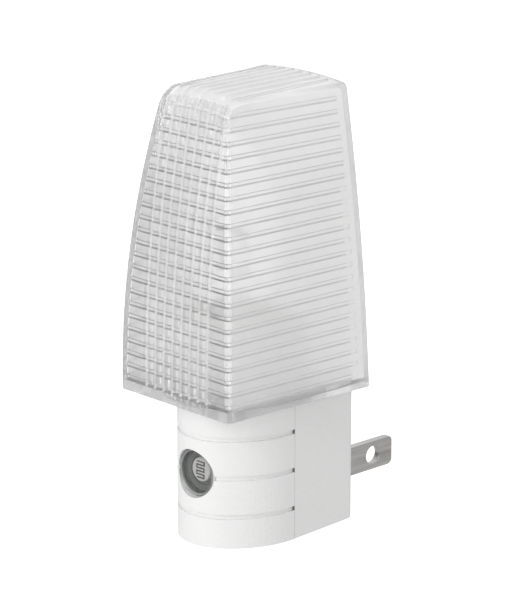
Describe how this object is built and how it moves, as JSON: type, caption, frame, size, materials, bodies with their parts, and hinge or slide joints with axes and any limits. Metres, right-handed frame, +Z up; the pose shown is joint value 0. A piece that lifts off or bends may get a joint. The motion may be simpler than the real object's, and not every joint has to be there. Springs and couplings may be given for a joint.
{
  "type": "plug-in night light",
  "caption": "Plug-in night light: white two-shell housing with light sensor and flat wall blades, small screw bulb, and a tall clear ribbed shade that lifts off.",
  "frame": {"origin": "middle of the flat wall face, level with the blades", "axes": "+Y out of the back towards the wall, along the blades; +Z up; +X across, to the left of a viewer behind the lamp and the right of one in front"},
  "size_m": [0.0364, 0.0567, 0.0957],
  "materials": {
    "housing_white": "fine satin moulded white",
    "clear_shade": "clear ribbed moulding",
    "clear_lens": "clear moulded window",
    "nickel_blade": "nickel-plated, lightly brushed",
    "cell_ceramic": "pale cell with a dark serpentine track",
    "tinned_wire": "tinned copper",
    "board_green": "lacquered board",
    "black_epoxy": "moulded epoxy",
    "resistor_body": "lacquered ceramic",
    "capacitor_body": "dipped coating",
    "brass_strip": "bright brass",
    "socket_phenolic": "heat-resistant moulding",
    "bulb_clear": "clear glass",
    "bulb_black": "black glass insulator",
    "solder": "solder dot",
    "tungsten": "drawn wire"
  },
  "bodies": {
    "housing": {"front_shell": "housing_white", "rear_shell": "housing_white", "blade_left": "nickel_blade", "blade_right": "nickel_blade", "sensor_lens": "clear_lens", "photocell": "cell_ceramic", "photocell_leads": "tinned_wire", "circuit_board": "board_green", "thyristor": "black_epoxy", "resistor": "resistor_body", "diode": "black_epoxy", "capacitor": "capacitor_body", "neutral_strip": "brass_strip", "centre_contact": "brass_strip", "socket_insulator": "socket_phenolic", "socket_shell": "brass_strip"},
    "bulb": {"bulb_screw_base": "brass_strip", "bulb_insulator": "bulb_black", "bulb_contact": "solder", "bulb_glass": "bulb_clear", "bulb_stem": "bulb_clear", "filament_leads": "tinned_wire", "filament": "tungsten"},
    "shade": {"shade": "clear_shade"}
  },
  "joints": [
    {"name": "shade_lift", "type": "slide", "parent": "housing", "child": "shade", "axis": [0, 0, 1], "range_m": [0, 0.058]},
    {"name": "bulb_turn", "type": "hinge", "parent": "housing", "child": "bulb", "pos_m": [0, -0.0227, 0.03], "axis": [0, 0, 1], "range_deg": [0, 1440]}
  ]
}
